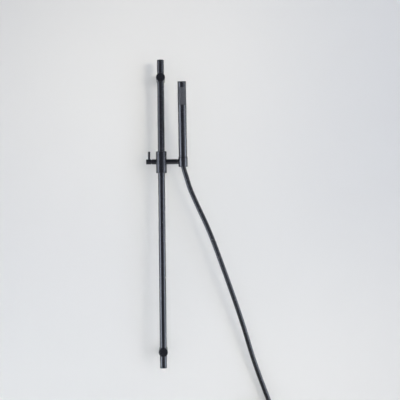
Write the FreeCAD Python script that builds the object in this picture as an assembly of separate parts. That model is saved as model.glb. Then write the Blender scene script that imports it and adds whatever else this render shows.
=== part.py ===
import FreeCAD, Part
import math
import os

from FreeCAD import Placement, Rotation, Vector

# Shower slide rail: a round rail on two wall posts, and on it a sliding clamp with a side arm,
# a tilting cone holder, a slim hand shower and its hose.
# Millimetres. Origin on the wall, midway between the two fixings; +X right, +Y into the wall, +Z up.

# Fits, as radial clearances
fit_gap = 0.05
run_gap = 0.05
face_gap = 0.05

# Rail
rail_length = 900.0
rail_d = 20.0
rail_wall = 1.5
rail_offset = 55.0  # rail axis from the wall
rail_rise = 2.75  # middle of the rail above the middle of the fixings
cap_head = 8.0
cap_plug = 12.0
cap_groove = 0.6
cap_round = 1.2

# Wall brackets
rail_overhang = 50.0  # mean reach of the rail past the fixings
post_side_wall = 3.25  # beside the rail
post_front_wall = 5.0  # in front of the rail
post_skirt = 3.25  # round the wall spigot
post_edge = 0.8
spigot_length = 22.0
spigot_relief = 3.0
wall_hole_d = 5.5
wall_head_d = 11.0
wall_head_seat = 5.0
lock_screw_d = 5.0
lock_screw_setback = 11.0
lock_bite = 0.9
lock_recess = 0.4
rail_screw_d = 8.0
rail_screw_length = 10.0
rail_pad_length = 6.0

# Slider sleeve and its liners
slider_height = 154.2  # clamp and arm axis above the middle of the fixings
slider_turn = -3.2  # degrees, arm swung out from the wall
sleeve_height = 63.4
sleeve_drop = 1.5  # middle of the sleeve below the arm axis
sleeve_wall = 3.65
sleeve_edge = 1.0
liner_wall = 2.0
liner_flange_lip = 1.5
liner_flange = 1.6
liner_window_gap = 1.5

# Clamp
collar_d = 14.8
collar_length = 13.6
collar_front = 5.0
collar_spigot_d = 11.0
spigot_rail_gap = 0.9
shoe_d = 8.0
shoe_tip = 2.5
spindle_d = 6.0
spindle_thread_d = 5.0
spindle_flange = 0.8
spindle_flange_lip = 0.7
thread_pitch = 1.25
release_turn = 180.0  # degrees of lever turn that frees the slider
clamp_washer_d = 10.6
clamp_washer_t = 1.5
knob_d = 14.8
knob_length = 15.3
knob_edge = 1.0
knob_socket = 10.0
lever_setback = 6.9
lever_length = 22.2
lever_tip_d = 7.0
lever_foot_d = 6.0
lever_round = 1.2
lever_seat = 2.2  # flat on the spindle, from its axis

# Arm and tilting holder
arm_reach = 63.5  # rail axis to holder axis
arm_d = 14.6
arm_spigot_d = 10.0
holder_height = 30.0
holder_wall = 1.4  # at the rim, before its bevel
holder_edge = 0.5
rim_bevel = 0.9  # inwards
rim_bevel_height = 3.6
holder_lean = 10.0  # degrees, hand shower leaning out from the wall
tilt_back = 10.0
tilt_forward = 50.0
cone_taper = 1.4  # radius lost from rim to foot
boss_stand = 2.0
pivot_washer_t = 0.8
stub_d = 9.0
stub_length = 16.0
pivot_ring_d = 1.5
pivot_ring_spread = 4.5
stop_screw_d = 4.0
stop_tip_d = 2.8
stop_depth = 1.2
stop_play = 1.0  # degrees

# Hose ends
hose_d = 14.0
hose_wall = 3.0
ferrule_wall = 1.0
thread_d = 20.8
nut_wall = 1.6
nut_stand = 3.0  # cone nut above the holder rim
nut_foot = 4.0  # foot of the cone nut above the arm axis
nut_thread = 12.0
flange_t = 1.6
seal_t = 2.0
inlet_thread_d = 18.6
inlet_thread = 10.0
inlet_relief = 0.6  # behind the thread, round flange and seal
inlet_nut_wall = 2.6
inlet_nut_foot = 7.0
inlet_sleeve = 14.0
grip_count = 16
grip_r = 1.3

# Hand shower
handset_d = 24.5
handset_wall = 1.25
handset_rise = 218.0  # top above the holder rim
handset_turn = 21.0  # degrees, spray face swung off the arm's front
connector_gap = 0.8  # left open above the cone nut, whose seal closes first
connector_flange = 1.6
connector_plug = 16.0
connector_bore = 12.0
valve_length = 10.0
valve_rib = 3.0
top_head = 2.6
top_plug = 8.0
top_round = 1.0
face_below_top = 16.4
face_length = 50.4
face_cut = 5.05  # depth of the milled flat
plate_t = 1.2
plate_gap = 0.3
plate_round = 2.0
mat_t = 1.5
core_overlap = 4.0
core_bore = 9.0
nozzle_d = 2.2
nozzle_tip_d = 1.6
nozzle_stand = 0.7
nozzle_pitch = 4.4
nozzle_margin = 3.0

# Hose route after its straight start, then a tied coil and a short tail to the inlet nut
hose_start = 6.5
hose_points = [
    (64.3, -56.3, 139.5),
    (66.4, -55.2, 129.5),
    (70.2, -54.3, 117.5),
    (75.4, -53.5, 100.0),
    (83.3, -52.9, 73.0),
    (104.2, -52.5, 25.0),
    (138.7, -52.2, -50.0),
    (176.7, -50.0, -155.0),
    (229.6, -38.5, -307.0),
    (267.3, -24.5, -437.6),
    (304.6, -20.5, -538.8),
    (333.1, -21.0, -615.9),
]
arc_share = 0.45
coil_d = 154.0
coil_entry = 19.9  # degrees, where the hose meets the coil
coil_leave = -90.0
coil_pitch = 14.0
tail_length = 50.0
tie_angle = -45.0
tie_width = 9.0
tie_t = 1.5
tie_gap = 0.2

# Sizes that follow from the ones above
rail_r = rail_d / 2
fixing_centres = rail_length - 2 * rail_overhang
post_d = rail_d + 2 * post_side_wall
post_length = rail_offset + rail_r + post_front_wall
spigot_bore_d = post_d - 2 * post_skirt
spigot_d = spigot_bore_d - 2 * fit_gap
liner_r = rail_r + run_gap + liner_wall
sleeve_bore_r = liner_r + run_gap
sleeve_r = sleeve_bore_r + sleeve_wall
sleeve_top = sleeve_height / 2 - sleeve_drop
sleeve_foot = -sleeve_height / 2 - sleeve_drop
window = max(collar_spigot_d, arm_spigot_d) / 2 + liner_window_gap
collar_seat = math.sqrt(sleeve_r**2 - (collar_d / 2 + fit_gap) ** 2)
arm_seat = math.sqrt(sleeve_r**2 - (arm_d / 2 + fit_gap) ** 2)
collar_end = collar_seat + collar_length
release_travel = thread_pitch * release_turn / 360
spindle_shoulder = collar_end - collar_front - face_gap
shoe_end = spindle_shoulder - spindle_flange - release_travel - 2 * face_gap
knob_start = collar_end + clamp_washer_t + 2 * face_gap
cone_top_r = thread_d / 2 + fit_gap + nut_wall
holder_r = cone_top_r + holder_wall
rim = holder_height / 2
nut_top = rim + nut_stand
seat_floor = nut_top - nut_thread
boss_end = holder_r + boss_stand
stub_end = boss_end + stub_length
arm_end = arm_reach - boss_end - pivot_washer_t - 2 * face_gap
stub_middle = boss_end + stub_length / 2
ferrule_r = hose_d / 2 + ferrule_wall
handset_r = handset_d / 2
handset_bore_r = handset_r - handset_wall
connector_shoulder = nut_top + connector_gap
handset_foot = connector_shoulder + connector_flange
handset_top = rim + handset_rise
face_plane = handset_r - face_cut
face_middle = handset_top - face_below_top - face_length / 2
plate_half = math.sqrt(handset_r**2 - (face_plane + plate_t) ** 2) - fit_gap
mat_back = face_plane - mat_t
inlet_nut_r = inlet_thread_d / 2 + inlet_nut_wall
hose_end = nut_foot - face_gap - 2 * ferrule_wall

# Frames of the brackets, the slider, the holder and the hand shower
AXIS_X = Vector(1, 0, 0)
AXIS_Y = Vector(0, 1, 0)
AXIS_Z = Vector(0, 0, 1)
HERE = Vector(0, 0, 0)
FROM_WALL = Rotation(AXIS_X, 90)  # local Z points out of the wall, local -Y down
TO_LEFT = Rotation(AXIS_Y, -90)  # local Z points left, local X up
TO_RIGHT = Rotation(AXIS_Y, 90)  # local Z points right, local X down
slider_frame = Placement(Vector(0, -rail_offset, slider_height), Rotation(AXIS_Z, slider_turn))
clamp_frame = slider_frame.multiply(Placement(HERE, TO_LEFT))
arm_frame = slider_frame.multiply(Placement(HERE, TO_RIGHT))
holder_frame = slider_frame.multiply(Placement(Vector(arm_reach, 0, 0), Rotation(AXIS_X, holder_lean)))
stub_frame = Placement(HERE, TO_LEFT)
handset_frame = holder_frame.multiply(Placement(HERE, Rotation(AXIS_Z, handset_turn)))


def placed(shape, frame):
    shape.Placement = frame.multiply(shape.Placement)
    return shape


def turned(points):
    # solid of revolution about Z from (radius, height) points
    corners = [Vector(r, 0, z) for r, z in points]
    outline = Part.makePolygon(corners + corners[:1])
    return Part.Face(outline).revolve(HERE, AXIS_Z, 360)


def rod(d, low, high):
    return Part.makeCylinder(d / 2, high - low, Vector(0, 0, low))


def ring(outer_d, inner_d, low, high):
    return rod(outer_d, low, high).cut(rod(inner_d, low, high))


def rounded(shape, height, radius, size):
    # fillet on the rim of a turned piece
    edges = [
        e for e in shape.Edges
        if isinstance(e.Curve, Part.Circle)
        and abs(e.Curve.Radius - radius) < 1e-6
        and abs(e.Curve.Center.z - height) < 1e-6
    ]
    return shape.makeFillet(size, edges)


def across_x(d, reach, height):
    return Part.makeCylinder(d / 2, 2 * reach, Vector(-reach, 0, height), AXIS_X)


def across_y(d, reach, height):
    return Part.makeCylinder(d / 2, 2 * reach, Vector(0, -reach, height), AXIS_Y)


def grub_screw(d, length):
    # headless screw with a hexagon socket at its lower end
    socket_r = d / 4
    socket_depth = length / 2
    corners = [Vector(socket_r, 0, 0)]
    for step in range(1, 7):
        corners.append(Rotation(AXIS_Z, 60 * step).multVec(corners[0]))
    socket = Part.Face(Part.makePolygon(corners)).extrude(AXIS_Z * socket_depth)
    return rod(d, 0, length).cut(socket)


def rail_tube():
    half = rail_length / 2 - cap_head
    tube = ring(rail_d, rail_d - 2 * rail_wall, -half, half)
    return placed(tube, Placement(Vector(0, -rail_offset, rail_rise), Rotation()))


def rail_cap(up):
    plug_r = rail_r - rail_wall - fit_gap
    neck_r = rail_r - cap_groove
    cap = turned([
        (0, -cap_plug), (plug_r, -cap_plug), (plug_r, 0), (neck_r, 0), (neck_r, cap_groove),
        (rail_r, cap_groove), (rail_r, cap_head), (0, cap_head),
    ])
    cap = rounded(cap, cap_head, rail_r, cap_round)
    seat = rail_length / 2 - cap_head
    flip = Rotation() if up else Rotation(AXIS_X, 180)
    height = rail_rise + (seat if up else -seat)
    return placed(cap, Placement(Vector(0, -rail_offset, height), flip))


def bracket_frame(height):
    return Placement(Vector(0, 0, height), FROM_WALL)


def post(height):
    r = post_d / 2
    body = turned([
        (0, 0), (r - post_edge / 2, 0), (r, post_edge / 2), (r, post_length - post_edge),
        (r - post_edge, post_length), (0, post_length),
    ])
    body = body.cut(rod(spigot_bore_d, 0, spigot_length + spigot_relief))
    body = body.cut(rod(rail_screw_d + 2 * fit_gap, 0, rail_offset))
    body = body.cut(across_y(rail_d + 2 * fit_gap, post_d, rail_offset))
    lock_hole = Part.makeCylinder(
        lock_screw_d / 2 + fit_gap, post_d, Vector(0, 0, lock_screw_setback), -AXIS_Y
    )
    return placed(body.cut(lock_hole), bracket_frame(height))


def wall_spigot(height):
    r = spigot_d / 2
    head_r = wall_head_d / 2
    hole_r = wall_hole_d / 2
    groove_half = lock_screw_d / 2 + fit_gap
    low = lock_screw_setback - groove_half
    high = lock_screw_setback + groove_half
    cone_end = wall_head_seat + head_r - hole_r
    body = turned([
        (hole_r, 0), (r, 0), (r, low), (r - lock_bite, low), (r - lock_bite, high), (r, high),
        (r, spigot_length), (head_r, spigot_length), (head_r, cone_end), (hole_r, wall_head_seat),
    ])
    return placed(body, bracket_frame(height))


def lock_screw(height):
    tip = spigot_d / 2 - lock_bite + face_gap
    screw = grub_screw(lock_screw_d, post_d / 2 - lock_recess - tip)
    start = Vector(0, -post_d / 2 + lock_recess, lock_screw_setback)
    screw = placed(screw, Placement(start, Rotation(AXIS_X, -90)))
    return placed(screw, bracket_frame(height))


def rail_screw(height):
    start = rail_offset - rail_r - rail_pad_length - rail_screw_length
    screw = placed(grub_screw(rail_screw_d, rail_screw_length), Placement(Vector(0, 0, start), Rotation()))
    return placed(screw, bracket_frame(height))


def rail_pad(height):
    pad = rod(rail_screw_d, rail_offset - rail_r - rail_pad_length, rail_offset)
    pad = pad.cut(across_y(rail_d + 2 * fit_gap, post_d, rail_offset))
    return placed(pad, bracket_frame(height))


def slider_sleeve():
    lip_r = liner_r + liner_flange_lip + run_gap
    step = liner_flange + face_gap
    body = turned([
        (lip_r, sleeve_foot), (sleeve_r - sleeve_edge, sleeve_foot), (sleeve_r, sleeve_foot + sleeve_edge),
        (sleeve_r, sleeve_top - sleeve_edge), (sleeve_r - sleeve_edge, sleeve_top), (lip_r, sleeve_top),
        (lip_r, sleeve_top - step), (sleeve_bore_r, sleeve_top - step),
        (sleeve_bore_r, sleeve_foot + step), (lip_r, sleeve_foot + step),
    ])
    for frame, seat, boss_d, hole_d in (
        (TO_LEFT, collar_seat, collar_d, collar_spigot_d),
        (TO_RIGHT, arm_seat, arm_d, arm_spigot_d),
    ):
        spot = rod(boss_d + 2 * fit_gap, seat, 2 * sleeve_r)
        hole = rod(hole_d, 0, seat)
        body = body.cut(placed(spot.fuse(hole), Placement(HERE, frame)))
    return placed(body, slider_frame)


def slider_liner(up):
    inner = rail_r + run_gap
    lip_r = liner_r + liner_flange_lip
    end = sleeve_top if up else -sleeve_foot
    liner = turned([
        (inner, window), (liner_r, window), (liner_r, end - liner_flange),
        (lip_r, end - liner_flange), (lip_r, end), (inner, end),
    ])
    flip = Rotation() if up else Rotation(AXIS_X, 180)
    return placed(placed(liner, Placement(HERE, flip)), slider_frame)


def clamp_collar():
    r = collar_d / 2
    edge = knob_edge / 2
    spigot_r = collar_spigot_d / 2 - fit_gap
    start = rail_r + spigot_rail_gap
    inner_wall = collar_end - collar_front
    bore_r = shoe_d / 2 + run_gap
    journal_r = spindle_d / 2 + run_gap
    collar = turned([
        (bore_r, start), (spigot_r, start), (spigot_r, collar_seat), (r, collar_seat),
        (r, collar_end - edge), (r - edge, collar_end), (journal_r, collar_end),
        (journal_r, inner_wall), (bore_r, inner_wall),
    ])
    return placed(collar, clamp_frame)


def brake_shoe():
    shoe = rod(shoe_d, 0, shoe_end)
    shoe = shoe.cut(across_x(rail_d + 2 * run_gap, shoe_d, 0))
    shoe = shoe.cut(rod(spindle_thread_d + 2 * run_gap, rail_r + shoe_tip, shoe_end))
    return placed(shoe, clamp_frame)


def clamp_spindle():
    tip = rail_r + shoe_tip + release_travel + 2 * face_gap
    end = knob_start + knob_socket - face_gap
    thread_r = spindle_thread_d / 2
    journal_r = spindle_d / 2
    flange_r = journal_r + spindle_flange_lip
    shaft = turned([
        (0, tip), (thread_r, tip), (thread_r, spindle_shoulder - spindle_flange),
        (flange_r, spindle_shoulder - spindle_flange), (flange_r, spindle_shoulder),
        (journal_r, spindle_shoulder), (journal_r, end), (0, end),
    ])
    seat_half = lever_foot_d / 2 + fit_gap
    middle = knob_start + lever_setback
    flat = Part.makeBox(
        spindle_d, spindle_d, 2 * seat_half, Vector(lever_seat, -spindle_d / 2, middle - seat_half)
    )
    return placed(shaft.cut(flat), clamp_frame)


def clamp_washer():
    low = collar_end + face_gap
    return placed(ring(clamp_washer_d, spindle_d + 2 * run_gap, low, low + clamp_washer_t), clamp_frame)


def clamp_knob():
    r = knob_d / 2
    end = knob_start + knob_length
    knob = turned([
        (0, knob_start), (r - knob_edge, knob_start), (r, knob_start + knob_edge),
        (r, end - knob_edge), (r - knob_edge, end), (0, end),
    ])
    knob = knob.cut(rod(spindle_d + 2 * fit_gap, knob_start, knob_start + knob_socket))
    hole = Part.makeCylinder(
        lever_foot_d / 2 + fit_gap, knob_d, Vector(0, 0, knob_start + lever_setback), AXIS_X
    )
    return placed(knob.cut(hole), clamp_frame)


def clamp_lever():
    foot_r = lever_foot_d / 2
    tip_r = lever_tip_d / 2
    shoulder = knob_d / 2
    end = shoulder + lever_length
    foot = lever_seat + face_gap
    pin = turned([(0, foot), (foot_r, foot), (foot_r, shoulder), (tip_r, end), (0, end)])
    pin = rounded(pin, end, tip_r, lever_round)
    place = Placement(Vector(0, 0, knob_start + lever_setback), Rotation(AXIS_Y, 90))
    return placed(placed(pin, place), clamp_frame)


def holder_arm():
    r = arm_d / 2
    edge = holder_edge
    spigot_r = arm_spigot_d / 2 - fit_gap
    start = rail_r + spigot_rail_gap
    bore_r = stub_d / 2 + run_gap
    floor = arm_reach - stub_end - face_gap
    arm = turned([
        (0, start), (spigot_r, start), (spigot_r, arm_seat), (r, arm_seat), (r, arm_end - edge),
        (r - edge, arm_end), (bore_r, arm_end), (bore_r, floor), (0, floor),
    ])
    screw_hole = Part.makeCylinder(
        stop_screw_d / 2 + fit_gap, arm_d, Vector(0, 0, arm_reach - stub_middle), AXIS_X
    )
    return placed(arm.cut(screw_hole), arm_frame)


def tilt_stop_screw():
    # grub screw whose narrow tip runs in the stub's groove
    tip = stub_d / 2 - stop_depth + face_gap
    shoulder = stub_d / 2 + run_gap + face_gap
    end = arm_d / 2 - lock_recess
    screw = grub_screw(stop_screw_d, end - shoulder).fuse(rod(stop_tip_d, end - shoulder, end - tip))
    start = Vector(end, 0, arm_reach - stub_middle)
    return placed(placed(screw, Placement(start, Rotation(AXIS_Y, -90))), arm_frame)


def pivot_washer():
    low = arm_end + face_gap
    return placed(ring(arm_d - 2, stub_d + 2 * run_gap, low, low + pivot_washer_t), arm_frame)


def stop_groove():
    # sector groove that lets the holder tilt from upright to its forward limit
    reach_r = stub_d / 2
    floor_r = reach_r - stop_depth
    tip_half = math.degrees(math.asin((stop_tip_d / 2 + fit_gap) / floor_r)) + stop_play
    first = 180 + holder_lean - tilt_back - tip_half
    sweep = tilt_back + tilt_forward + 2 * tip_half
    half_width = stop_tip_d / 2 + fit_gap
    low = Vector(0, 0, stub_middle - half_width)
    sector = Part.makeCylinder(stub_d, 2 * half_width, low, AXIS_Z, sweep)
    sector.rotate(HERE, AXIS_Z, first)
    return sector.cut(rod(2 * floor_r, stub_middle - half_width, stub_middle + half_width))


def ring_heights():
    return (stub_middle - pivot_ring_spread, stub_middle + pivot_ring_spread)


def holder_stub():
    # pivot boss and stub, along local Z before they are laid to the left
    stub = rod(arm_d, 0, boss_end).fuse(rod(stub_d, boss_end, stub_end))
    for height in ring_heights():
        half = pivot_ring_d / 2 + face_gap
        groove = ring(2 * stub_d, stub_d - 2 * pivot_ring_d, height - half, height + half)
        stub = stub.cut(groove)
    return stub.cut(stop_groove())


def holder_cup():
    foot_r = cone_top_r - cone_taper
    wall = turned([
        (0, -rim), (holder_r, -rim), (holder_r, rim - rim_bevel_height),
        (holder_r - rim_bevel, rim), (0, rim),
    ])
    wall = rounded(wall, -rim, holder_r, holder_edge)
    bore = turned([(0, -rim), (foot_r, -rim), (cone_top_r, rim), (0, rim)])
    slot_half = (hose_d + 2 * ferrule_wall) / 2
    slot = Part.makeBox(2 * slot_half, 2 * holder_r, holder_height, Vector(-slot_half, 0, -rim))
    cup = wall.fuse(placed(holder_stub(), stub_frame)).cut(bore).cut(slot)
    return placed(cup, holder_frame)


def pivot_rings():
    # two friction rings in the stub's grooves
    section_r = pivot_ring_d / 2
    middle_r = stub_d / 2 - section_r
    rings = []
    for height in ring_heights():
        rings.append(Part.makeTorus(middle_r + run_gap / 2, section_r, Vector(0, 0, height)))
    return placed(placed(Part.makeCompound(rings), stub_frame), holder_frame)


def cone_r(height):
    return cone_top_r - cone_taper * (rim - height) / holder_height


def cone_nut():
    top_r = cone_r(nut_top) - fit_gap
    foot_r = cone_r(nut_foot) - fit_gap
    thread_r = thread_d / 2 + fit_gap
    hole_r = ferrule_r + fit_gap
    nut = turned([
        (hole_r, nut_foot), (foot_r, nut_foot), (top_r, nut_top), (thread_r, nut_top),
        (thread_r, seat_floor), (hole_r, seat_floor),
    ])
    return placed(nut, holder_frame)


def hose_ferrule():
    bore_r = hose_d / 2 - hose_wall
    flange_r = thread_d / 2 - 2 * fit_gap
    low = hose_end + face_gap
    ferrule = turned([
        (bore_r, low), (ferrule_r, low), (ferrule_r, seat_floor), (flange_r, seat_floor),
        (flange_r, seat_floor + flange_t), (bore_r, seat_floor + flange_t),
    ])
    return placed(ferrule, holder_frame)


def hose_washer():
    low = seat_floor + flange_t
    return placed(ring(thread_d - 4 * fit_gap, hose_d - 2 * hose_wall, low, low + seal_t), holder_frame)


def handset_connector():
    bore_r = connector_bore / 2
    thread_r = thread_d / 2
    plug_r = handset_bore_r - fit_gap
    low = seat_floor + flange_t + seal_t
    connector = turned([
        (bore_r, low), (thread_r, low), (thread_r, connector_shoulder), (handset_r, connector_shoulder),
        (handset_r, handset_foot), (plug_r, handset_foot), (plug_r, handset_foot + connector_plug),
        (bore_r, handset_foot + connector_plug),
    ])
    return placed(connector, handset_frame)


def check_valve():
    # non-return cartridge in the connector, open along its axis
    low = handset_foot + connector_plug - valve_length
    r = connector_bore / 2 - fit_gap
    valve = ring(2 * r, r, low, low + valve_length)
    rib = valve_rib
    spider = Part.makeBox(2 * r - rib, rib, rib, Vector(rib / 2 - r, -rib / 2, low))
    return placed(valve.fuse(spider), handset_frame)


def face_block(depth_from, depth_to, half_width, length):
    # block in front of the hand shower's axis, facing local -Y
    corner = Vector(-half_width, -depth_to, face_middle - length / 2)
    return Part.makeBox(2 * half_width, depth_to - depth_from, length, corner)


def handset_body():
    tube = ring(handset_d, 2 * handset_bore_r, handset_foot, handset_top - top_head)
    flat = face_block(face_plane, handset_d, handset_d, face_length)
    return placed(tube.cut(flat), handset_frame)


def handset_top_cap():
    plug_r = handset_bore_r - fit_gap
    low = handset_top - top_head
    cap = turned([
        (0, low - top_plug), (plug_r, low - top_plug), (plug_r, low), (handset_r, low),
        (handset_r, handset_top), (0, handset_top),
    ])
    return placed(rounded(cap, handset_top, handset_r, top_round), handset_frame)


def nozzle_places():
    # rows and columns that fit on the spray plate
    span_x = 2 * (plate_half - nozzle_margin)
    span_z = face_length - 2 * (plate_gap + nozzle_margin)
    columns = int(span_x / nozzle_pitch) + 1
    rows = int(span_z / nozzle_pitch) + 1
    places = []
    for column in range(columns):
        for row in range(rows):
            x = (column - (columns - 1) / 2) * nozzle_pitch
            z = face_middle + (row - (rows - 1) / 2) * nozzle_pitch
            places.append((x, z))
    return places


def spray_plate():
    plate = face_block(face_plane, face_plane + plate_t, plate_half, face_length - 2 * plate_gap)
    corners = [e for e in plate.Edges if abs(e.Vertexes[0].Y - e.Vertexes[1].Y) > plate_t / 2]
    plate = plate.makeFillet(plate_round, corners)
    hole_r = nozzle_d / 2 + fit_gap
    start = -face_plane + plate_t / 2
    holes = [
        Part.makeCylinder(hole_r, 2 * plate_t, Vector(x, start, z), -AXIS_Y) for x, z in nozzle_places()
    ]
    return placed(plate.cut(holes), handset_frame)


def nozzle_mat():
    # soft mat behind the plate, with a nozzle through each of its holes
    half = math.sqrt(handset_bore_r**2 - face_plane**2) - plate_gap
    mat = face_block(mat_back + fit_gap, face_plane, half, face_length - 2 * plate_gap)
    height = plate_t + nozzle_stand
    nozzles = [
        Part.makeCone(nozzle_d / 2, nozzle_tip_d / 2, height, Vector(x, -face_plane, z), -AXIS_Y)
        for x, z in nozzle_places()
    ]
    return placed(mat.fuse(nozzles), handset_frame)


def spray_core():
    # moulded chamber behind the mat: bore up the middle, slot out to the nozzles
    half = face_length / 2 + core_overlap
    low = face_middle - half
    core = rod(2 * (handset_bore_r - fit_gap), low, face_middle + half)
    core = core.cut(face_block(mat_back, handset_d, handset_d, 2 * half))
    core = core.cut(rod(core_bore, low, face_middle + half - core_overlap))
    slot = face_block(0, mat_back, core_bore / 2, face_length - 2 * core_overlap)
    return placed(core.cut(slot), handset_frame)


def hose_route():
    start = holder_frame.multVec(Vector(0, 0, hose_end))
    straight = holder_frame.multVec(Vector(0, 0, hose_end - hose_start))
    return [start, straight] + [Vector(*p) for p in hose_points]


def cord_path(points):
    # straight runs joined by tangent arcs, each as large as its runs allow
    edges = []
    radii = []
    last = points[0]
    for before, corner, after in zip(points, points[1:], points[2:]):
        into = (corner - before).normalize()
        out = (after - corner).normalize()
        half_turn = into.getAngle(out) / 2
        share = arc_share * min(corner.distanceToPoint(before), corner.distanceToPoint(after))
        radius = share / math.tan(half_turn)
        inward = (out - into).normalize()
        nearest = corner + inward * (radius / math.cos(half_turn) - radius)
        first = corner - into * share
        end = corner + out * share
        edges.append(Part.LineSegment(last, first).toShape())
        edges.append(Part.Arc(first, nearest, end).toShape())
        radii.append(radius)
        last = end
    edges.append(Part.LineSegment(last, points[-1]).toShape())
    return Part.Wire(edges), radii


def hose_tube():
    points = hose_route()
    path, radii = cord_path(points)
    outline = Part.Wire([Part.Circle(points[0], points[1] - points[0], hose_d / 2).toShape()])
    tube = path.makePipeShell([outline], True, False)
    section = math.pi * hose_d**2 / 4
    print("hose radii", [round(r) for r in radii], "length", round(path.Length, 1))
    print("hose volume over section times length", round(tube.Volume / (section * path.Length), 4))
    return tube


def coil_sweep():
    return 360 + coil_entry - coil_leave


def coil_centre():
    # the hose meets the coil at its entry angle, on the turn nearest the wall
    entry = Vector(*hose_points[-1])
    angle = math.radians(coil_entry)
    return entry - Vector(math.cos(angle), 0, math.sin(angle)) * (coil_d / 2)


def coil_depth():
    return coil_pitch * coil_sweep() / 360


def coil_outline(grow):
    # section over the turns lying side by side, grown evenly, in local XZ
    r = hose_d / 2 + grow
    middle = coil_d / 2
    depth = coil_depth()
    low_out, low_in = Vector(middle + r, 0, 0), Vector(middle - r, 0, 0)
    high_out, high_in = low_out + AXIS_Z * depth, low_in + AXIS_Z * depth
    low_arc = Part.Arc(low_out, Vector(middle, 0, -r), low_in)
    high_arc = Part.Arc(high_in, Vector(middle, 0, depth + r), high_out)
    inner = Part.LineSegment(low_in, high_in)
    outer = Part.LineSegment(high_out, low_out)
    return Part.Wire([c.toShape() for c in (low_arc, inner, high_arc, outer)])


def coil_frame():
    return Placement(coil_centre(), FROM_WALL)


def hose_coil():
    return placed(Part.Face(coil_outline(0)).revolve(HERE, AXIS_Z, 360), coil_frame())


def hose_tie():
    band = Part.Face(coil_outline(tie_gap + tie_t)).cut(Part.Face(coil_outline(tie_gap)))
    sweep = math.degrees(tie_width / (coil_d / 2))
    band.rotate(HERE, AXIS_Z, tie_angle - sweep / 2)
    return placed(band.revolve(HERE, AXIS_Z, sweep), coil_frame())


def tail_frame():
    # local Z runs along the hose's tail, leaving the foot of the coil to the left
    start = coil_centre() - Vector(0, coil_depth(), coil_d / 2)
    return Placement(start, TO_LEFT)


def hose_tail():
    return placed(rod(hose_d, 0, tail_length), tail_frame())


def inlet_floor():
    return tail_length + inlet_sleeve


def inlet_ferrule():
    bore_r = hose_d / 2 - hose_wall
    flange_r = inlet_thread_d / 2 - 2 * fit_gap
    floor = inlet_floor()
    ferrule = turned([
        (bore_r, tail_length), (ferrule_r, tail_length), (ferrule_r, floor), (flange_r, floor),
        (flange_r, floor + flange_t), (bore_r, floor + flange_t),
    ])
    return placed(ferrule, tail_frame())


def inlet_washer():
    low = inlet_floor() + flange_t
    outer_d = inlet_thread_d - 4 * fit_gap
    return placed(ring(outer_d, hose_d - 2 * hose_wall, low, low + seal_t), tail_frame())


def inlet_nut():
    # captive nut, free to turn on its ferrule, with scalloped grip
    r = inlet_nut_r
    edge = holder_edge
    hole_r = ferrule_r + 2 * run_gap
    thread_r = inlet_thread_d / 2
    relief_r = thread_r + inlet_relief
    floor = inlet_floor() - face_gap
    low = floor - inlet_nut_foot
    thread_start = inlet_floor() + flange_t + seal_t + face_gap
    high = thread_start + inlet_thread
    nut = turned([
        (hole_r, low), (r - edge, low), (r, low + edge), (r, high - edge), (r - edge, high),
        (thread_r, high), (thread_r, thread_start), (relief_r, thread_start), (relief_r, floor),
        (hole_r, floor),
    ])
    grips = []
    for step in range(grip_count):
        grip = rod(2 * grip_r, low, high)
        grip.translate(Vector(r + grip_r / 2, 0, 0))
        grip.rotate(HERE, AXIS_Z, 360 * step / grip_count)
        grips.append(grip)
    return placed(nut.cut(grips), tail_frame())


def all_nodes():
    nodes = {
        "rail_tube": rail_tube(),
        "rail_cap_top": rail_cap(True),
        "rail_cap_bottom": rail_cap(False),
        "slider_sleeve": slider_sleeve(),
        "slider_liner_upper": slider_liner(True),
        "slider_liner_lower": slider_liner(False),
        "clamp_collar": clamp_collar(),
        "clamp_washer": clamp_washer(),
        "clamp_spindle": clamp_spindle(),
        "clamp_knob": clamp_knob(),
        "clamp_lever": clamp_lever(),
        "brake_shoe": brake_shoe(),
        "holder_arm": holder_arm(),
        "tilt_stop_screw": tilt_stop_screw(),
        "pivot_washer": pivot_washer(),
        "pivot_rings": pivot_rings(),
        "holder_cup": holder_cup(),
        "cone_nut": cone_nut(),
        "hose_ferrule": hose_ferrule(),
        "hose_washer": hose_washer(),
        "handset_connector": handset_connector(),
        "check_valve": check_valve(),
        "handset_body": handset_body(),
        "handset_top_cap": handset_top_cap(),
        "spray_core": spray_core(),
        "nozzle_mat": nozzle_mat(),
        "spray_plate": spray_plate(),
        "hose_tube": hose_tube(),
        "hose_coil": hose_coil(),
        "hose_tail": hose_tail(),
        "hose_tie": hose_tie(),
        "inlet_ferrule": inlet_ferrule(),
        "inlet_washer": inlet_washer(),
        "inlet_nut": inlet_nut(),
    }
    for end, height in (("upper", fixing_centres / 2), ("lower", -fixing_centres / 2)):
        nodes[end + "_post"] = post(height)
        nodes[end + "_wall_spigot"] = wall_spigot(height)
        nodes[end + "_lock_screw"] = lock_screw(height)
        nodes[end + "_rail_screw"] = rail_screw(height)
        nodes[end + "_rail_pad"] = rail_pad(height)
    return nodes


os.makedirs("parts", exist_ok=True)
for name, shape in all_nodes().items():
    solids = len(shape.Solids)
    if not shape.isValid() or solids == 0:
        raise ValueError(name + " isn't a valid solid")
    shape.exportStep("parts/" + name + ".step")
    print(name, "solids", solids, "volume", round(shape.Volume, 1))
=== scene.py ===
import bpy
import math
import numpy as np
from mathutils import Matrix, Vector


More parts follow.
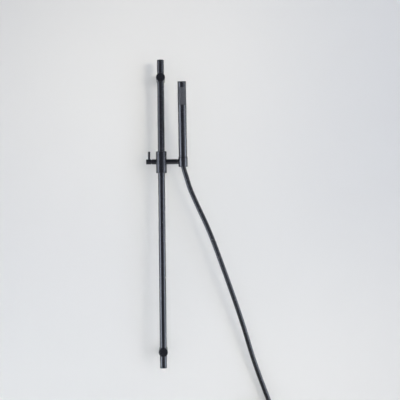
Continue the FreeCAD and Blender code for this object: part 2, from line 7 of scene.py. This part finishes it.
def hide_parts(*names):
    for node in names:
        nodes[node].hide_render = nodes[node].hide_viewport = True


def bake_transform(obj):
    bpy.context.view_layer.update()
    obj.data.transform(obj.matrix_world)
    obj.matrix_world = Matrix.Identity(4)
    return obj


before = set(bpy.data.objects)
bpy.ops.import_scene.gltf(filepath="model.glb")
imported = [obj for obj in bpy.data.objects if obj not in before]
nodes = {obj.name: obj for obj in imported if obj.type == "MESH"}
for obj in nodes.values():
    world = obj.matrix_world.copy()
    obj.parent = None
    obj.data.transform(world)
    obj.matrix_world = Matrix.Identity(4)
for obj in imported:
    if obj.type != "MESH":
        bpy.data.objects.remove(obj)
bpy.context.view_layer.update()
scene = bpy.context.scene
quarter = math.pi / 2
print("frame loaded:", len(nodes), "nodes")


# camera: its place in metres and its turns in degrees come from the two posts, whose front and wall ends
# both show
cameraSet = {
    "place": (0.0057, -2.9868, -0.0305),
    "yaw": 2.073,
    "pitch": 1.398,
    "roll": -0.642,
    "focalPixels": 1002.99,
    "framePixels": 400,
    "sensor": 36.0,
}


def addCamera(s):
    yaw, pitch, roll = (math.radians(s[k]) for k in ("yaw", "pitch", "roll"))
    ahead = Vector((math.sin(yaw) * math.cos(pitch), math.cos(yaw) * math.cos(pitch), math.sin(pitch)))
    levelRight = Vector((math.cos(yaw), -math.sin(yaw), 0))
    levelUp = levelRight.cross(ahead)
    right = math.cos(roll) * levelRight + math.sin(roll) * levelUp
    up = math.cos(roll) * levelUp - math.sin(roll) * levelRight
    data = bpy.data.cameras.new("photoCamera")
    data.sensor_width = s["sensor"]
    data.lens = s["sensor"] * s["focalPixels"] / s["framePixels"]
    camera = bpy.data.objects.new("photoCamera", data)
    turn = Matrix((right, up, -ahead)).transposed().to_4x4()
    camera.matrix_world = Matrix.Translation(s["place"]) @ turn
    scene.collection.objects.link(camera)
    scene.camera = camera


addCamera(cameraSet)
print("camera placed")


# small helpers for materials
def linear(code):
    # sRGB hex to linear colour
    parts = np.array([int(code[i:i + 2], 16) for i in (1, 3, 5)]) / 255
    value = np.where(parts <= 0.04045, parts / 12.92, ((parts + 0.055) / 1.055) ** 2.4)
    return (*value.tolist(), 1.0)


def addNode(tree, kind, settings=None, **inputs):
    # a node with its settings; an input is a value, or (node, output) to link from; i0, i1 count sockets
    node = tree.nodes.new(kind)
    for key, value in (settings or {}).items():
        setattr(node, key, value)
    for key, value in inputs.items():
        counted = key[0] == "i" and key[1:].isdigit()
        socket = node.inputs[int(key[1:]) if counted else key.replace("_", " ")]
        if isinstance(value, tuple) and isinstance(value[0], bpy.types.Node):
            tree.links.new(value[0].outputs[value[1]], socket)
        else:
            socket.default_value = value
    return node


def newMaterial(name):
    material = bpy.data.materials.new(name)
    material.use_nodes = True
    tree = material.node_tree
    tree.nodes.clear()
    return material, tree


def mottled(tree, s, pattern):
    # a pattern's colour, between two, and its roughness, where span gives the pattern's usual range
    tint = addNode(
        tree, "ShaderNodeMix", {"data_type": "RGBA"},
        Factor=pattern, i6=linear(s["colour"]), i7=linear(s["shade"]),
    )
    rough = addNode(
        tree, "ShaderNodeMapRange", Value=pattern,
        From_Min=s["span"][0], From_Max=s["span"][1], To_Min=s["roughness"][0], To_Max=s["roughness"][1],
    )
    return {"Base_Color": (tint, 2), "Roughness": (rough, 0)}


def dress(material, names):
    for name in names:
        mesh = nodes[name].data
        mesh.materials.clear()
        mesh.materials.append(material)


# satin black lacquer over turned brass: near black from the front, with a thin soft gloss that only
# shows as pale bands along the flanks, and lathe lines round each piece that break those bands a little
lacquerSet = {
    "colour": "#0b0c12",
    "shade": "#14151c",  # haze where water has dried
    "roughness": (0.2, 0.33),
    "span": (0.35, 0.65),
    "ior": 1.52,
    "hazeMm": 45.0,
    "hazeShare": 0.8,  # of the mottling, the rest follows the lines
    "lineMm": 0.5,  # real lathe lines are about 0.05 mm apart, drawn coarser so that they show
    "lineLengthMm": 50.0,
    "lineHeight": 0.000004,
    "orangePeelMm": 1.6,
    "orangePeelHeight": 0.00002,
    "bump": 0.3,
}
lean = math.radians(10)  # hand shower and holder lean out from the wall
lacquerPieces = [  # turns that lay the pieces' own axis along the pattern's Z, and the pieces
    (
        "satinBlackLacquerRail", (0, 0, 0),
        ["rail_tube", "rail_cap_top", "rail_cap_bottom", "slider_sleeve", "clamp_lever"],
    ),
    (
        "satinBlackLacquerPost", (quarter, 0, 0),
        ["upper_post", "lower_post"],
    ),
    (
        "satinBlackLacquerArm", (0, quarter, 0),
        ["clamp_collar", "clamp_knob", "holder_arm", "inlet_nut", "inlet_ferrule"],
    ),
    (
        "satinBlackLacquerHandset", (-lean, 0, 0),
        ["holder_cup", "cone_nut", "handset_connector", "handset_body", "handset_top_cap"],
    ),
]


def satinLacquer(s, name, turns):
    material, tree = newMaterial(name)
    place = addNode(tree, "ShaderNodeTexCoord")
    laid = addNode(tree, "ShaderNodeMapping", Vector=(place, "Object"), Rotation=turns)
    along = 1000 / s["lineLengthMm"]
    lineSpace = addNode(
        tree, "ShaderNodeMapping", Vector=(laid, "Vector"), Scale=(along, along, 1000 / s["lineMm"]),
    )
    lines = addNode(tree, "ShaderNodeTexNoise", Vector=(lineSpace, "Vector"), Scale=1.0, Detail=2.0)
    haze = addNode(
        tree, "ShaderNodeTexNoise", Vector=(laid, "Vector"), Scale=1000 / s["hazeMm"], Detail=5.0,
    )
    peel = addNode(
        tree, "ShaderNodeTexNoise", Vector=(laid, "Vector"), Scale=1000 / s["orangePeelMm"], Detail=1.0,
    )
    total = addNode(
        tree, "ShaderNodeMix", {"data_type": "FLOAT"},
        i0=s["hazeShare"], i2=(lines, "Fac"), i3=(haze, "Fac"),
    )
    peeled = addNode(
        tree, "ShaderNodeBump", Height=(peel, "Fac"), Strength=s["bump"], Distance=s["orangePeelHeight"],
    )
    lined = addNode(
        tree, "ShaderNodeBump", Height=(lines, "Fac"), Strength=s["bump"], Distance=s["lineHeight"],
        Normal=(peeled, 0),
    )
    shader = addNode(
        tree, "ShaderNodeBsdfPrincipled", **mottled(tree, s, (total, 0)), IOR=s["ior"], Normal=(lined, 0),
    )
    addNode(tree, "ShaderNodeOutputMaterial", Surface=(shader, 0))
    return material


for name, turns, pieces in lacquerPieces:
    dress(satinLacquer(lacquerSet, name, turns), pieces)
print("lacquer done")


# plainer finishes, each with its own fine grain
grainSet = {"height": 0.00002, "bump": 0.3, "span": (0.3, 0.7)}
finishSet = {
    # spray plate, blasted and lacquered: dark grey, paler and duller than the tube round it
    "blastedGreyLacquer": {
        "colour": "#46474b", "shade": "#3b3c40", "metallic": 0.0, "roughness": (0.4, 0.52), "grainMm": 0.6,
        "pieces": ["spray_plate"],
    },
    # nozzles and seals, moulded: grey, soft and matt
    "greySilicone": {
        "colour": "#3a3b3e", "shade": "#323336", "metallic": 0.0, "roughness": (0.5, 0.62), "grainMm": 1.2,
        "pieces": ["nozzle_mat", "pivot_rings", "hose_washer", "inlet_washer"],
    },
    # liners, pads and washers, moulded: near black with a faint waxy sheen
    "mouldedNylon": {
        "colour": "#1d1e20", "shade": "#242527", "metallic": 0.0, "roughness": (0.4, 0.55), "grainMm": 0.9,
        "pieces": [
            "slider_liner_upper", "slider_liner_lower", "brake_shoe", "clamp_washer", "pivot_washer",
            "check_valve", "spray_core", "upper_rail_pad", "lower_rail_pad",
        ],
    },
    # screws and spigots, turned: plain grey metal with a soft gleam
    "turnedSteel": {
        "colour": "#9a9b9c", "shade": "#86878a", "metallic": 1.0, "roughness": (0.25, 0.38), "grainMm": 0.7,
        "pieces": [
            "upper_wall_spigot", "lower_wall_spigot", "upper_lock_screw", "lower_lock_screw",
            "upper_rail_screw", "lower_rail_screw", "tilt_stop_screw", "clamp_spindle",
        ],
    },
    # hose end, turned: yellow metal, a glint in the holder's slot
    "turnedBrass": {
        "colour": "#c8a766", "shade": "#b8955a", "metallic": 1.0, "roughness": (0.22, 0.34), "grainMm": 0.7,
        "pieces": ["hose_ferrule"],
    },
}


def grainedFinish(name, s):
    material, tree = newMaterial(name)
    place = addNode(tree, "ShaderNodeTexCoord")
    grain = addNode(
        tree, "ShaderNodeTexNoise", Vector=(place, "Object"), Scale=1000 / s["grainMm"], Detail=3.0,
    )
    bump = addNode(
        tree, "ShaderNodeBump", Height=(grain, "Fac"), Strength=s["bump"], Distance=s["height"],
    )
    shader = addNode(
        tree, "ShaderNodeBsdfPrincipled", **mottled(tree, s, (grain, "Fac")), Metallic=s["metallic"],
        Normal=(bump, 0),
    )
    addNode(tree, "ShaderNodeOutputMaterial", Surface=(shader, 0))
    return material


for name, finish in finishSet.items():
    dress(grainedFinish(name, {**grainSet, **finish}), finish["pieces"])
print("plain finishes done")


# tie strap: matt black polyester webbing, with small raised crossings whose tops are painted lighter, a
# painted highlight where they would catch a little light
strapSet = {
    "colour": "#131416",
    "paintedCrownHighlight": "#2a2b2e",  # painted highlight on top of each thread
    "roughness": 0.72,
    "threadMm": 0.9,  # real threads are about 0.5 mm, drawn coarser so that they show
    "threadHeight": 0.0002,
    "bump": 0.6,
    "ways": [(0.71, 0, 0.71), (0.71, 1, -0.71)],  # across the strap, and along it round the hose
}


def wovenStrap(s):
    # height of the weave: sin(across) * sin(along), both counted in threads
    material, tree = newMaterial("wovenPolyesterStrap")
    place = addNode(tree, "ShaderNodeTexCoord")
    threads = []
    for way in s["ways"]:
        beat = tuple(math.pi * 1000 / s["threadMm"] * c for c in way)
        run = addNode(
            tree, "ShaderNodeVectorMath", {"operation": "DOT_PRODUCT"}, i0=(place, "Object"), i1=beat,
        )
        threads.append(addNode(tree, "ShaderNodeMath", {"operation": "SINE"}, i0=(run, "Value")))
    weave = addNode(
        tree, "ShaderNodeMath", {"operation": "MULTIPLY"}, i0=(threads[0], 0), i1=(threads[1], 0),
    )
    lift = addNode(tree, "ShaderNodeMapRange", Value=(weave, 0), From_Min=-1.0)
    # colour follows the weave's height: a painted highlight on the tops of the crossings, the plain colour
    # between them
    tint = addNode(
        tree, "ShaderNodeMix", {"data_type": "RGBA"},
        Factor=(lift, 0), i6=linear(s["colour"]), i7=linear(s["paintedCrownHighlight"]),
    )
    bump = addNode(
        tree, "ShaderNodeBump", Height=(lift, 0), Strength=s["bump"], Distance=s["threadHeight"],
    )
    shader = addNode(
        tree, "ShaderNodeBsdfPrincipled", Base_Color=(tint, 2), Roughness=s["roughness"], Normal=(bump, 0),
    )
    addNode(tree, "ShaderNodeOutputMaterial", Surface=(shader, 0))
    return material


dress(wovenStrap(strapSet), ["hose_tie"])
print("strap done")


# hose: one line from the holder down to the right, into a tied coil and a short tail, in metres and degrees
hoseSet = {
    "diameter": 0.014,
    "length": 1.5,
    "route": [
        (0.06338, -0.05888, 0.15612), (0.06345, -0.05776, 0.14972), (0.0643, -0.0563, 0.1395),
        (0.0664, -0.0552, 0.1295), (0.0702, -0.0543, 0.1175), (0.0754, -0.0535, 0.1000),
        (0.0833, -0.0529, 0.0730), (0.1042, -0.0525, 0.0250), (0.1387, -0.0522, -0.0500),
        (0.1767, -0.0500, -0.1550), (0.2296, -0.0385, -0.3070), (0.2673, -0.0245, -0.4376),
        (0.3046, -0.0205, -0.5388), (0.3331, -0.0210, -0.6159),
    ],
    "coilRadius": 0.077,
    "coilEntry": 19.9,
    "coilLeave": -90.0,
    "coilPitch": 0.014,
    "pointsPerTurn": 18,
    "tail": 0.05,
    "tailShares": (0.3, 0.65, 1.0),
    "stepsPerPoint": 24,
    "around": 24,
    "ribPitch": 0.0044,
    "ribSteps": 6,
    "ribDepth": 0.0001,
    "ribWidth": 0.14,  # share of the pitch
    "bendDown": 0.17,  # stretch below the holder that bends with its tilt
    "pathStep": 4,
}
hoseSkinSet = {
    "colour": "#0b0c0f",
    "shade": "#121317",
    "roughness": (0.2, 0.3),
    "span": (0.3, 0.7),
    "ior": 1.5,
    "patchMm": 12.0,
}


def hoseControls(s):
    # route, then a flat helix about Y, then a straight tail to the left
    entry = math.radians(s["coilEntry"])
    sweep = math.radians(360 + s["coilEntry"] - s["coilLeave"])
    end = np.array(s["route"][-1])
    centre = end - s["coilRadius"] * np.array((math.cos(entry), 0, math.sin(entry)))
    count = int(round(s["pointsPerTurn"] * sweep / (2 * math.pi)))
    turn = (np.arange(count) + 0.5) / count * sweep
    outer = s["coilRadius"] / math.cos(sweep / count / 2)
    depth = s["coilPitch"] * turn / (2 * math.pi)
    coil = centre + np.stack([outer * np.cos(entry - turn), -depth, outer * np.sin(entry - turn)], axis=1)
    foot = centre + np.array((0, -s["coilPitch"] * sweep / (2 * math.pi), -s["coilRadius"]))
    tail = foot + np.array((-1.0, 0, 0)) * np.array(s["tailShares"])[:, None] * s["tail"]
    return np.vstack([s["route"], coil, tail])


def smoothLine(controls, steps):
    # points along a spline of order 3 through the run of control points
    curve = bpy.data.curves.new("hoseLine", "CURVE")
    curve.dimensions = "3D"
    curve.resolution_u = steps
    spline = curve.splines.new("NURBS")
    spline.points.add(len(controls) - 1)
    spline.points.foreach_set("co", np.hstack([controls, np.ones((len(controls), 1))]).ravel())
    spline.order_u = 3
    spline.use_endpoint_u = True
    guide = bpy.data.objects.new("hoseLine", curve)
    scene.collection.objects.link(guide)
    bpy.context.view_layer.update()
    mesh = bpy.data.meshes.new_from_object(guide)
    points = np.zeros(len(mesh.vertices) * 3)
    mesh.vertices.foreach_get("co", points)
    bpy.data.objects.remove(guide)
    bpy.data.meshes.remove(mesh)
    return points.reshape(-1, 3)


def evenLine(points, step):
    # the same line, resampled at an even spacing
    run = np.concatenate([[0], np.cumsum(np.linalg.norm(np.diff(points, axis=0), axis=1))])
    along = np.linspace(0, run[-1], int(run[-1] / step) + 1)
    return np.stack([np.interp(along, run, points[:, i]) for i in range(3)], axis=1), along


def carriedFrames(points):
    # two directions across the line, carried along it without twist
    ahead = np.gradient(points, axis=0)
    ahead /= np.linalg.norm(ahead, axis=1)[:, None]
    across = np.zeros_like(points)
    side = np.cross(ahead[0], (0.0, 1.0, 0.0))
    for i, direction in enumerate(ahead):
        side = side - direction * (side @ direction)
        side = side / np.linalg.norm(side)
        across[i] = side
    return across, np.cross(ahead, across)


def addTube(name, grid, material):
    # a closed mesh from rings of points [ring, point, 3], with a cap at each end
    rings, around = grid.shape[:2]
    index = np.arange(rings * around).reshape(rings, around)
    index = np.hstack([index, index[:, :1]])
    corners = [index[:-1, :-1], index[:-1, 1:], index[1:, 1:], index[1:, :-1]]
    faces = np.stack(corners, axis=-1).reshape(-1, 4).tolist()
    faces.append(list(range(around))[::-1])
    faces.append(list(range((rings - 1) * around, rings * around)))
    mesh = bpy.data.meshes.new(name)
    mesh.from_pydata(grid.reshape(-1, 3).tolist(), [], faces)
    mesh.polygons.foreach_set("use_smooth", np.ones(len(faces), bool))
    mesh.materials.append(material)
    tube = bpy.data.objects.new(name, mesh)
    scene.collection.objects.link(tube)
    return tube


def satinHose(s):
    # satin PVC skin over a spiral wire: smooth, black, with a soft sheen along the sides
    material, tree = newMaterial("satinPvcHose")
    place = addNode(tree, "ShaderNodeTexCoord")
    patches = addNode(
        tree, "ShaderNodeTexNoise", Vector=(place, "Object"), Scale=1000 / s["patchMm"], Detail=4.0,
    )
    shader = addNode(
        tree, "ShaderNodeBsdfPrincipled", **mottled(tree, s, (patches, "Fac")), IOR=s["ior"],
    )
    addNode(tree, "ShaderNodeOutputMaterial", Surface=(shader, 0))
    return material


def addHose(s):
    # tube whose radius dips in a fine spiral groove: r = R - depth * bump(along / pitch - angle / turn)
    line, along = evenLine(smoothLine(hoseControls(s), s["stepsPerPoint"]), s["ribPitch"] / s["ribSteps"])
    across, up = carriedFrames(line)
    angle = np.arange(s["around"]) / s["around"] * 2 * math.pi
    phase = (along[:, None] / s["ribPitch"] - angle[None] / (2 * math.pi)) % 1.0
    radius = s["diameter"] / 2 - s["ribDepth"] * np.exp(-(((phase - 0.5) / s["ribWidth"]) ** 2))
    grid = line[:, None] + radius[..., None] * (
        np.cos(angle)[None, :, None] * across[:, None] + np.sin(angle)[None, :, None] * up[:, None]
    )
    hose = addTube("showerHose", grid, satinHose(hoseSkinSet))
    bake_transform(hose)
    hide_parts("hose_tube", "hose_coil", "hose_tail")
    print("hose length", round(float(along[-1]), 4))


addHose(hoseSet)


# stage: a pale wall that shows only from the front, and a pale floor
stageSet = {
    "wallColour": "#e8e9e8",
    "floorColour": "#d4d4d6",
    "wallPlace": 0.0005,
    "wallWidth": 6.0,
    "wallHeight": 4.0,
    "wallTouch": 0.003,  # faces this close to the wall count as touching it
    "floorDrop": 1.35,  # clear of the coil when the slider is at the bottom
}


def wallPaint(s):
    # matt paint, clear from behind so that the back of the fittings can be seen, and clear to the faces
    # that touch it so that they aren't left black
    material, tree = newMaterial("mattWallPaint")
    side = addNode(tree, "ShaderNodeNewGeometry")
    ray = addNode(tree, "ShaderNodeLightPath")
    touching = addNode(
        tree, "ShaderNodeMath", {"operation": "LESS_THAN"}, i0=(ray, "Ray Length"), i1=s["wallTouch"],
    )
    hidden = addNode(
        tree, "ShaderNodeMath", {"operation": "MAXIMUM"}, i0=(side, "Backfacing"), i1=(touching, 0),
    )
    paint = addNode(tree, "ShaderNodeBsdfDiffuse", Color=linear(s["wallColour"]))
    clear = addNode(tree, "ShaderNodeBsdfTransparent")
    mix = addNode(tree, "ShaderNodeMixShader", i0=(hidden, 0), i1=(paint, 0), i2=(clear, 0))
    addNode(tree, "ShaderNodeOutputMaterial", Surface=(mix, 0))
    return material


def floorPaint(s):
    material, tree = newMaterial("mattFloorPaint")
    paint = addNode(tree, "ShaderNodeBsdfDiffuse", Color=linear(s["floorColour"]))
    addNode(tree, "ShaderNodeOutputMaterial", Surface=(paint, 0))
    return material


def addSheet(name, corners, material):
    mesh = bpy.data.meshes.new(name)
    mesh.from_pydata(corners, [], [(0, 1, 2, 3)])
    mesh.materials.append(material)
    sheet = bpy.data.objects.new(name, mesh)
    scene.collection.objects.link(sheet)


def addStage(s):
    w, y = s["wallWidth"] / 2, s["wallPlace"]
    low, high = -s["floorDrop"], s["wallHeight"] - s["floorDrop"]
    wall = [(-w, y, low), (w, y, low), (w, y, high), (-w, y, high)]
    floor = [(-w, -w, low), (w, -w, low), (w, w, low), (-w, w, low)]
    addSheet("wall", wall, wallPaint(s))
    addSheet("floor", floor, floorPaint(s))


addStage(stageSet)
print("stage done")


# light: a room that glows softly all round and is dark overhead, a far fill on the camera's own line, whose
# shadows hide behind the pieces, two weaker ones that even out the wall, two soft warm keys from the right,
# one lamp down on the floor, and upright softboxes at both sides for the flanks
fillPlace = (0.006, -6.0, -0.03)
fillSize = (0.24, 0.24)
keyColour = "#fff4e2"
lampSet = [  # matt light: place, aim, size, width of the beam in degrees, glow against white paper
    {
        "name": "cameraFill", "place": fillPlace, "aim": (0.12, 0, -0.3), "size": fillSize,
        "beam": 170, "glow": 365.0, "colour": "#fffef2",
    },
    {
        "name": "lowFill", "place": fillPlace, "aim": (-0.55, 0, -0.5), "size": fillSize,
        "beam": 24, "glow": 5.1,
    },
    {
        "name": "highFill", "place": fillPlace, "aim": (0.75, 0, 0.4), "size": fillSize,
        "beam": 24, "glow": 1.5,
    },
    {
        "name": "upperKey", "place": (1.51, -2.54, 0.5), "aim": (-0.08, 0, 0.5), "size": (0.6, 0.4),
        "beam": 26, "glow": 0.55, "colour": keyColour,
    },
    {
        "name": "lowerKey", "place": (2.01, -2.54, -0.6), "aim": (0.42, 0, -0.6), "size": (0.5, 0.4),
        "beam": 34, "glow": 0.75, "colour": keyColour,
    },
    {
        "name": "floorLight", "place": (0, -1.7, 2.0), "aim": (0, -1.7, -1.35), "size": (1.2, 1.2),
        "beam": 60, "glow": 1.2,
    },
]
softboxSet = [  # gloss light: x, nearest and farthest from the wall, lowest and highest, glow
    {"name": "leftLow", "x": -1.5, "depth": (0.05, 1.3), "height": (-1.1, 0.15), "glow": 6.3},
    {"name": "leftHigh", "x": -1.5, "depth": (0.05, 1.1), "height": (0.15, 1.1), "glow": 3.0},
    {"name": "rightLow", "x": 1.6, "depth": (0.05, 0.85), "height": (-1.1, 0.235), "glow": 6.5},
    {"name": "rightMid", "x": 1.6, "depth": (0.05, 0.85), "height": (0.235, 0.42), "glow": 0.3},
    {"name": "rightHigh", "x": 1.6, "depth": (0.05, 0.85), "height": (0.42, 1.3), "glow": 2.2},
    {
        "name": "rightFront", "x": 1.6, "depth": (0.85, 2.4), "height": (-1.1, 1.1), "glow": 1.0,
        "matt": True,  # this one lights the wall too
    },
]
softboxColour = "#e2ebff"
roomSet = {
    "colour": "#ebeeff",
    "front": 0.34,  # glow in the gloss, up to darkFrom
    "overhead": 0.07,  # the same from darkTo on
    "darkFrom": 0.05,
    "darkTo": 0.5,
    "matt": 0.4,  # glow on matt surfaces
    "seen": 0.75,  # glow of the bare backdrop
}


def addLamp(name, size, glow, place, turn):
    # an area lamp's watts are four times its area for a glow of 1
    data = bpy.data.lights.new(name, "AREA")
    data.shape = "RECTANGLE"
    data.size, data.size_y = size
    data.energy = 4 * size[0] * size[1] * glow
    lamp = bpy.data.objects.new(name, data)
    lamp.location = place
    lamp.rotation_euler = turn
    lamp.visible_camera = False
    scene.collection.objects.link(lamp)
    return lamp


def addMattLamp(s):
    turn = (Vector(s["aim"]) - Vector(s["place"])).to_track_quat("-Z", "Y").to_euler()
    lamp = addLamp(s["name"], s["size"], s["glow"], s["place"], turn)
    lamp.data.spread = math.radians(s["beam"])
    lamp.data.color = linear(s.get("colour", "#ffffff"))[:3]
    lamp.visible_glossy = False


def addSoftbox(s):
    size = (s["depth"][1] - s["depth"][0], s["height"][1] - s["height"][0])
    place = (s["x"], -sum(s["depth"]) / 2, sum(s["height"]) / 2)
    turn = (quarter, 0, math.copysign(quarter, s["x"]))
    lamp = addLamp(s["name"], size, s["glow"], place, turn)
    lamp.data.color = linear(softboxColour)[:3]
    lamp.visible_diffuse = s.get("matt", False)


def addRoom(s):
    # glow in the gloss falls off from the horizon to overhead; matt surfaces get the same from all round,
    # and the bare backdrop itself is seen pale
    world = bpy.data.worlds.new("studio")
    world.use_nodes = True
    tree = world.node_tree
    tree.nodes.clear()
    direction = addNode(tree, "ShaderNodeTexCoord")
    split = addNode(tree, "ShaderNodeSeparateXYZ", Vector=(direction, "Generated"))
    glow = addNode(
        tree, "ShaderNodeMapRange", Value=(split, "Z"),
        From_Min=s["darkFrom"], From_Max=s["darkTo"], To_Min=s["front"], To_Max=s["overhead"],
    )
    ray = addNode(tree, "ShaderNodeLightPath")
    felt = addNode(
        tree, "ShaderNodeMix", {"data_type": "FLOAT"},
        i0=(ray, "Is Diffuse Ray"), i2=(glow, 0), i3=s["matt"],
    )
    strength = addNode(
        tree, "ShaderNodeMix", {"data_type": "FLOAT"},
        i0=(ray, "Is Camera Ray"), i2=(felt, 0), i3=s["seen"],
    )
    sky = addNode(tree, "ShaderNodeBackground", Color=linear(s["colour"]), Strength=(strength, 0))
    addNode(tree, "ShaderNodeOutputWorld", Surface=(sky, 0))
    scene.world = world
    scene.view_settings.view_transform = "Standard"


for lamp in lampSet:
    addMattLamp(lamp)
for softbox in softboxSet:
    addSoftbox(softbox)
addRoom(roomSet)
print("lights done")
